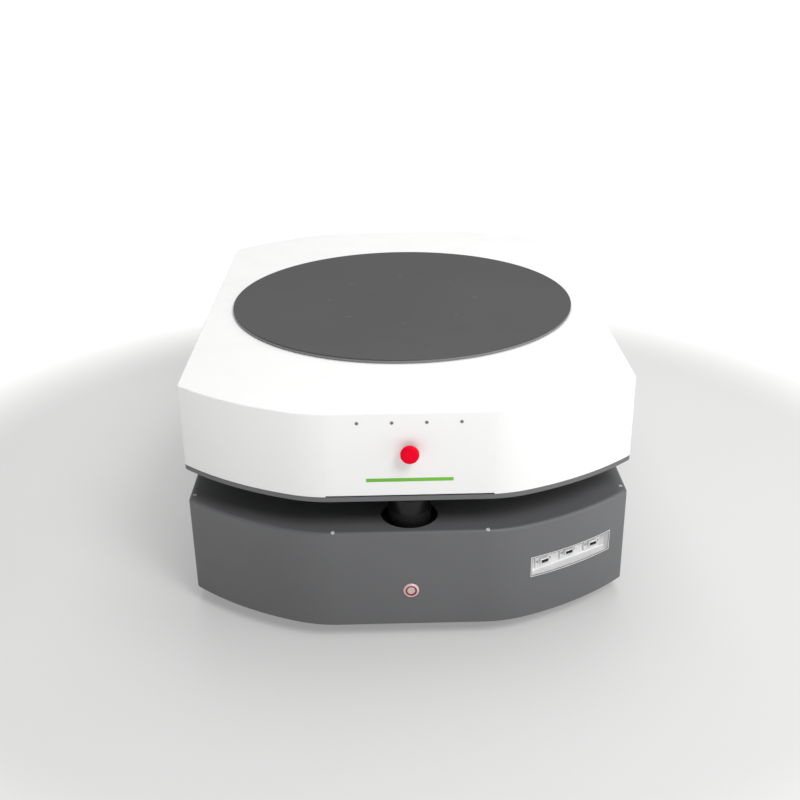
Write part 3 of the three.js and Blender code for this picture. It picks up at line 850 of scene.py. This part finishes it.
def make_recess_tray():
    """Metal pan in a trim ring that follows the skirt, with a dark gasket between the two."""
    seam_end = TRIM_WIDTH + TRIM_SEAM
    loops = [
        recess_slab(0, before_back(0)),
        recess_slab(0, behind_face(0)),
        recess_slab(TRIM_WIDTH, behind_face(0)),
        recess_slab(TRIM_WIDTH, behind_face(5 * MM)),
        recess_slab(seam_end, behind_face(5 * MM)),
        recess_slab(seam_end, behind_face(0.6 * MM)),
        recess_slab(PAN_WALL, behind_face(0.6 * MM)),
        recess_slab(PAN_WALL, before_back(RECESS_FLOOR + 2.5 * MM)),
        recess_slab(PAN_WALL + 1.2 * MM, before_back(RECESS_FLOOR + 0.5 * MM)),
        recess_slab(PAN_WALL + 3.5 * MM, before_back(RECESS_FLOOR)),
    ]
    pan = new_object("recess_pan", skin_mesh("recess_pan", loops, caps=True), sharp=50)
    finish_piece(in_recess(pan), RECESS_METAL, "chassis", "recess_metal", "io_tray")
    section = ((0, 3 * MM), (0, 0.2 * MM), (TRIM_SEAM, 0.2 * MM), (TRIM_SEAM, 3 * MM))
    loops = [recess_slab(TRIM_WIDTH + edge, behind_face(depth)) for edge, depth in section]
    gasket_mesh = skin_mesh("recess_gasket", loops, closed=True)
    gasket = new_object("recess_gasket", gasket_mesh, sharp=50)
    finish_piece(in_recess(gasket), FRAME_BLACK, "chassis", "recess_metal")


def port_box(name, x, half, front, back, soft):
    """A block about a connector's middle. Depths run forward from just before the pan."""
    floor = -CORNER_ARC_R + RECESS_DEPTH - RECESS_FLOOR - RECESS_GAP
    middle = (RECESS_BOTTOM + RECESS_TOP) / 2
    lo = (x - half[0], floor - front, middle - half[1])
    hi = (x + half[0], floor - back, middle + half[1])
    return new_object(name, box_mesh(name, lo, hi, *soft))


def make_port(index, x):
    """A flanged connector with a screw at each end of its flange."""
    flange = port_box(f"port_flange_{index}", x, (18 * MM, 12 * MM), 2 * MM, 0, (0.7 * MM, 3))
    in_recess(flange)
    finish_piece(flange, RECESS_METAL, "chassis", "connector_black", f"io_port_{index}")
    shell_half = (9.5 * MM, 5.5 * MM)
    shell = port_box(f"port_shell_{index}", x, shell_half, 7 * MM, 1.5 * MM, (1.2 * MM, 3))
    carve(shell, port_box("slot", x, PORT_SLOT, 10 * MM, 3 * MM, ()))
    in_recess(shell)
    finish_piece(shell, RECESS_METAL, "chassis", "connector_black")
    insert_half = [reach - 0.1 * MM for reach in PORT_SLOT]
    insert = port_box(f"port_insert_{index}", x, insert_half, 5.8 * MM, 2.8 * MM, (0.4 * MM, 2))
    in_recess(insert)
    finish_piece(insert, BLACK_MATT, "chassis", "connector_black")
    front = -CORNER_ARC_R + RECESS_DEPTH - RECESS_FLOOR - RECESS_GAP - 2 * MM
    middle = (RECESS_BOTTOM + RECESS_TOP) / 2
    for side, hand in ((-1, "a"), (1, "b")):
        obj = new_object(f"port_screw_{index}_{hand}", screw_mesh(2.3 * MM, 1.6 * MM))
        place(obj, (x + side * PORT_SCREW_X, front, middle), (0, -1, 0))
        in_recess(obj)
        finish_piece(obj, SCREW_DARK, "chassis", "connector_black")


def make_recess():
    """The pan and its three connectors."""
    make_recess_tray()
    for i in range(3):
        make_port(i + 1, (i - 1) * PORT_PITCH)


# ---- Wheels ----
ROLLER_HALF = 37 * MM
ROLLER_CIRCLE_R = 62 * MM
WHEEL_R = 76 * MM
PIN_BORE_R = 4.3 * MM
ROLLER_STEPS, ROLLER_SEGMENTS = 16, 32


def roller_mesh():
    """Barrel roller about its own axis, its ends drawn in a little."""
    profile = [(PIN_BORE_R, -ROLLER_HALF)]
    for i in range(ROLLER_STEPS + 1):
        s = ROLLER_HALF * (2 * i / ROLLER_STEPS - 1)
        reach = WHEEL_R - math.hypot(ROLLER_CIRCLE_R, s * math.sin(math.pi / 4))
        at_end = i in (0, ROLLER_STEPS)
        profile.append((reach - (0.8 * MM if at_end else 0.1 * MM), s))
    profile.append((PIN_BORE_R, ROLLER_HALF))
    return skin_mesh("roller", circles(profile, ROLLER_SEGMENTS), closed=True)


def make_rollers():
    """A barrel on each roller's joint axis."""
    mesh = roller_mesh()
    for joint in frame["joints"]:
        node = joint["child"]
        if not node.startswith("roller_"):
            continue
        obj = new_object(node.replace("roller", "barrel"), mesh.copy())
        place(obj, joint["pos_m"], joint["axis"])
        finish_piece(obj, TYRE, node, "roller_rubber", node)


# ---- Hubs ----
HUB_PLATE_R = 48 * MM
HUB_PLATE_IN, HUB_PLATE_OUT = 24 * MM, 29 * MM  # from the wheel's middle plane
HUB_BARREL_R = 30 * MM
HUB_SHAFT_R = 10 * MM
HUB_SHAFT_END = 52 * MM
TAB_LO, TAB_HI = (-27 * MM, -7 * MM, 39 * MM), (7 * MM, 7 * MM, 43 * MM)
PIN_R = 4 * MM
NUT_R = 5.5 * MM
HUB_BOLT_CIRCLE_R = 22 * MM
HUB_BOLTS = 6
HUB_BOLT_R = 3.2 * MM
ROLLERS = 8


def hub_station(hand, index):
    """From a roller's own space to its wheel's: local Z along the roller, X outward."""
    lean = math.sin(math.pi / 4)
    columns = ((0, 0, 1), (hand * lean, -lean, 0), (lean, hand * lean, 0))
    station = Matrix(columns).transposed().to_4x4()
    station.translation = (0, 0, ROLLER_CIRCLE_R)
    return Matrix.Rotation(2 * math.pi * index / ROLLERS, 4, "X") @ station


def hub_core(name, inward):
    """Two plates on a barrel, with the shaft that runs inward, about the wheel's X axis."""
    soft = 0.8 * MM
    half = [
        (HUB_SHAFT_R + 1 * MM, HUB_PLATE_OUT - 3 * MM),
        (HUB_SHAFT_R + 1 * MM, HUB_PLATE_OUT),
        (HUB_PLATE_R - soft, HUB_PLATE_OUT),
        (HUB_PLATE_R, HUB_PLATE_OUT - soft),
        (HUB_PLATE_R, HUB_PLATE_IN + soft),
        (HUB_PLATE_R - soft, HUB_PLATE_IN),
        (HUB_BARREL_R + 1 * MM, HUB_PLATE_IN),
        (HUB_BARREL_R, HUB_PLATE_IN - 1 * MM),
    ]
    profile = half + [(r, -x) for r, x in reversed(half)]
    core = turned(name, [(r, -x) for r, x in profile], 96)
    place(core, (0, 0, 0), (1, 0, 0))
    tip = HUB_SHAFT_END - 1 * MM
    shaft_profile = [(HUB_SHAFT_R, 0), (HUB_SHAFT_R, tip), (HUB_SHAFT_R - 1 * MM, HUB_SHAFT_END)]
    shaft = turned(f"{name}_shaft", shaft_profile, 48)
    place(shaft, (0, 0, 0), (inward, 0, 0))
    return core, shaft


def hub_tab_and_nut(name, face):
    """One tab that holds a pin's end, and the nut on it, in a roller's own space."""
    tab = new_object(f"hub_tab_{name}", box_mesh("tab", TAB_LO, TAB_HI, 1.2 * MM, 2))
    seat = TAB_HI[2]
    nut_profile = [(NUT_R, seat), (NUT_R, seat + 2.6 * MM), (NUT_R - 0.7 * MM, seat + 3.2 * MM)]
    nut = turned(f"hub_nut_{name}", nut_profile, 6, sharp=20)
    for obj in (tab, nut):
        obj.data.transform(Matrix.Scale(face, 4, (0, 0, 1)))
        outward(obj.data)
    return tab, nut


def make_hub(corner, side, end):
    """Hub with eight pins between pairs of tabs, a nut on each end, and bolts round the shaft."""
    wheel = f"wheel_{corner}"
    core, shaft = hub_core(f"hub_core_{corner}", -side)
    pieces = [(core, HUB_METAL), (shaft, HUB_METAL)]
    for index in range(ROLLERS):
        station = hub_station(side * end, index)
        name = f"{corner}_{index + 1}"
        pin = turned(f"hub_pin_{name}", [(PIN_R, -TAB_HI[2]), (PIN_R, TAB_HI[2])], 20)
        ends = [hub_tab_and_nut(f"{name}_{letter}", face) for letter, face in (("a", -1), ("b", 1))]
        for obj in (pin, *ends[0], *ends[1]):
            obj.data.transform(station)
        pieces += [(pin, SCREW_DARK)]
        pieces += [(tab, HUB_METAL) for tab, _ in ends] + [(nut, SCREW_DARK) for _, nut in ends]
    for index in range(HUB_BOLTS):
        a = 2 * math.pi * index / HUB_BOLTS
        bolt = new_object(f"hub_bolt_{corner}_{index + 1}", screw_mesh(HUB_BOLT_R, SCREW_DEPTH))
        at = (side * HUB_PLATE_OUT, HUB_BOLT_CIRCLE_R * math.cos(a), HUB_BOLT_CIRCLE_R * math.sin(a))
        pieces.append((place(bolt, at, (side, 0, 0)), SCREW_DARK))
    middle = next(joint["pos_m"] for joint in frame["joints"] if joint["child"] == wheel)
    for obj, material in pieces:
        obj.data.transform(Matrix.Translation(middle))
        finish_piece(obj, material, wheel, "hub_metal")
    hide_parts(f"hub_{corner}")


def make_hubs():
    """One hub at each corner."""
    for end, end_name in ((-1, "front"), (1, "rear")):
        for side, side_name in ((-1, "left"), (1, "right")):
            make_hub(f"{end_name}_{side_name}", side, end)


# ---- Everything else keeps its own shape ----
def dress(node, material, soft):
    """A material and softened edges for a CAD node that keeps its own shape."""
    obj = nodes[node]
    obj.data.materials.clear()
    obj.data.materials.append(material)
    bevel = obj.modifiers.new("soft", "BEVEL")
    bevel.width = soft
    bevel.segments = 2
    bevel.limit_method = "ANGLE"
    bevel.angle_limit = math.radians(50)


def dress_frame():
    """The frame, the battery and the motors."""
    dress("chassis_frame", FRAME_BLACK, 0.6 * MM)
    dress("battery_pack", BATTERY, 2.5 * MM)
    for name in nodes:
        if name.startswith("drive_motor_"):
            dress(name, MOTOR, 1.0 * MM)


# ---- Studio ----
CAMERA_AT = (-33.5 * MM, -2131 * MM, 1156 * MM)
CAMERA_YAW, CAMERA_PITCH, CAMERA_ROLL = 0.0122, 0.4159, -0.0155
CAMERA_LENS = 47.75


def make_camera():
    """A camera aimed by yaw, pitch and roll, in radians."""
    data = bpy.data.cameras.new("camera")
    data.lens = CAMERA_LENS
    data.sensor_width = 36
    data.clip_end = 400
    camera = bpy.data.objects.new("camera", data)
    bpy.context.scene.collection.objects.link(camera)
    yaw, pitch, roll = CAMERA_YAW, CAMERA_PITCH, CAMERA_ROLL
    ahead = Vector((math.sin(yaw) * math.cos(pitch), math.cos(yaw) * math.cos(pitch), -math.sin(pitch)))
    level = Vector((math.cos(yaw), -math.sin(yaw), 0))
    upright = level.cross(ahead)
    right = level * math.cos(roll) + upright * math.sin(roll)
    up = -level * math.sin(roll) + upright * math.cos(roll)
    turn = Matrix((right, up, -ahead)).transposed().to_4x4()
    camera.matrix_world = Matrix.Translation(CAMERA_AT) @ turn
    bpy.context.scene.camera = camera


def area_light(name, at, target, size, power):
    """A white rectangular lamp aimed at a point."""
    data = bpy.data.lights.new(name, "AREA")
    data.shape = "RECTANGLE"
    data.size, data.size_y = size
    data.energy = power
    lamp = bpy.data.objects.new(name, data)
    bpy.context.scene.collection.objects.link(lamp)
    lamp.matrix_world = Matrix.Translation(at) @ along(Vector(at) - Vector(target), (0, 1, 0))


FLOOR_HALF = 150.0
FLOOR_GREY_TO = 1.0  # the floor is pale grey out to here from the robot's middle,
FLOOR_WHITE_FROM = 1.6  # and white from here outwards
FLOOR_GLOW_NEAR, FLOOR_GLOW_FAR = 0.275, 0.92
FLOOR_DARKER, FLOOR_LIGHTER = (0.455, 0.455, 0.452), (0.465, 0.465, 0.462)
WORLD_STRENGTH = 0.311
LIGHTS = (  # name, place, aim, size and watts
    ("key", (1.5, -2.6, 3.3), (0, 0, 0.3), (1.6, 1.6), 79),
    ("overhead", (0.2, 1.0, 3.4), (0, 0, 0.3), (2.6, 2.6), 68),
    ("side", (3.4, -1.2, 1.3), (0, 0, 0.25), (2.0, 1.6), 29),
)


def make_floor():
    """Seamless paper: pale grey round the robot, fading to white, with soft light shadows."""
    lo, hi = (-FLOOR_HALF, -FLOOR_HALF, -0.02), (FLOOR_HALF, FLOOR_HALF, 0)
    floor = new_object("floor", box_mesh("floor", lo, hi))
    material, tree, shader = blank("floor_paper")
    tone = remap(tree, noise(tree, 1.5, 2.0), 0, 1)
    colour = mixed(tree, tone, FLOOR_DARKER, FLOOR_LIGHTER)
    tree.links.new(colour, shader.inputs["Base Color"])
    shader.inputs["Roughness"].default_value = 0.9
    shader.inputs["Specular IOR Level"].default_value = 0.1
    coords = tree.nodes.new("ShaderNodeTexCoord")
    reach = tree.nodes.new("ShaderNodeVectorMath")
    reach.operation = "LENGTH"
    tree.links.new(coords.outputs["Object"], reach.inputs[0])
    fade = tree.nodes.new("ShaderNodeMapRange")
    fade.interpolation_type = "SMOOTHSTEP"
    fade.inputs["From Min"].default_value = FLOOR_GREY_TO
    fade.inputs["From Max"].default_value = FLOOR_WHITE_FROM
    fade.inputs["To Min"].default_value = FLOOR_GLOW_NEAR
    fade.inputs["To Max"].default_value = FLOOR_GLOW_FAR
    tree.links.new(reach.outputs["Value"], fade.inputs["Value"])
    shader.inputs["Emission Color"].default_value = (1, 1, 0.995, 1)
    tree.links.new(fade.outputs["Result"], shader.inputs["Emission Strength"])
    floor.data.materials.append(material)


def make_studio():
    """The floor, the white surroundings and the lamps."""
    make_floor()
    world = bpy.data.worlds.new("studio")
    world.use_nodes = True
    background = world.node_tree.nodes["Background"]
    background.inputs["Color"].default_value = (1, 1, 1, 1)
    background.inputs["Strength"].default_value = WORLD_STRENGTH
    bpy.context.scene.world = world
    for light in LIGHTS:
        area_light(*light)
    view = bpy.context.scene.view_settings
    view.view_transform = "Standard"
    view.look = "None"


# ---- Assembly ----
make_camera()
make_studio()
make_cover()
make_front_panel()
make_tray()
make_lower_shell()
make_shell_screws()
make_base_screws()
make_accent_bar()
make_disc()
make_column()
for stop_name, stop_end in (("front", -1), ("rear", 1)):
    make_emergency_stop(stop_name, stop_end)
    make_scanner(stop_name, stop_end)
make_power_button()
make_recess()
make_rollers()
make_hubs()
dress_frame()
